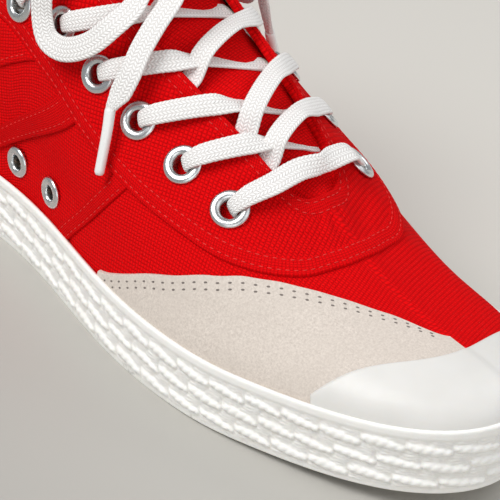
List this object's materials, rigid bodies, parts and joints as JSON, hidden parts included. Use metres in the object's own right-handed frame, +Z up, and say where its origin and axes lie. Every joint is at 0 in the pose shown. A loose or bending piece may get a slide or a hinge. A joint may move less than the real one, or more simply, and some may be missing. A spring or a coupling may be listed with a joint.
{
  "type": "canvas sneaker",
  "caption": "Low canvas sneaker, left shoe: hollow upper with eyestay, toe guard, tongue and bowed laces on a flat rubber sole with a rubber toe cap and a rope-textured side band.",
  "frame": {"origin": "middle of the shoe's box at floor level", "axes": "+X to the toe, +Y to the outer side of a left shoe, +Z up"},
  "size_m": [0.2974, 0.1018, 0.1197],
  "materials": {
    "sole_rubber": "matte white rubber",
    "cap_rubber": "smooth satin white rubber",
    "insole_cloth": "cotton over foam",
    "canvas": "plain weave cotton canvas",
    "suede": "napped suede",
    "steel": "bright plated steel",
    "lace_cotton": "flat woven cotton lace",
    "tip_plastic": "clear white lace tip"
  },
  "bodies": {
    "root": {"outsole": "sole_rubber", "side_band": "sole_rubber", "insole": "insole_cloth", "upper": "canvas", "tongue": "canvas", "toe_cap": "cap_rubber", "toe_guard": "suede", "eyestay": "canvas", "heel_strip": "canvas", "collar_binding": "canvas", "seam_band_medial": "canvas", "quarter_strap_medial": "canvas", "ankle_panel_medial": "canvas", "seam_band_lateral": "canvas", "quarter_strap_lateral": "canvas", "ankle_panel_lateral": "canvas", "lace_eyelet_medial_1": "steel", "lace_eyelet_medial_2": "steel", "lace_eyelet_medial_3": "steel", "lace_eyelet_medial_4": "steel", "lace_eyelet_medial_5": "steel", "lace_eyelet_medial_6": "steel", "lace_eyelet_lateral_1": "steel", "lace_eyelet_lateral_2": "steel", "lace_eyelet_lateral_3": "steel", "lace_eyelet_lateral_4": "steel", "lace_eyelet_lateral_5": "steel", "lace_eyelet_lateral_6": "steel", "vent_eyelet_1": "steel", "vent_eyelet_2": "steel", "lace_crossing_2": "lace_cotton", "lace_crossing_3": "lace_cotton", "lace_crossing_4": "lace_cotton", "lace_crossing_5": "lace_cotton", "lace_bottom_bar": "lace_cotton", "lace_top_strands": "lace_cotton", "bow_knot": "lace_cotton", "bow_loop_near": "lace_cotton", "bow_loop_far": "lace_cotton", "lace_end_near": "lace_cotton", "lace_end_far": "lace_cotton", "lace_tip_near": "tip_plastic", "lace_tip_far": "tip_plastic"}
  },
  "joints": []
}
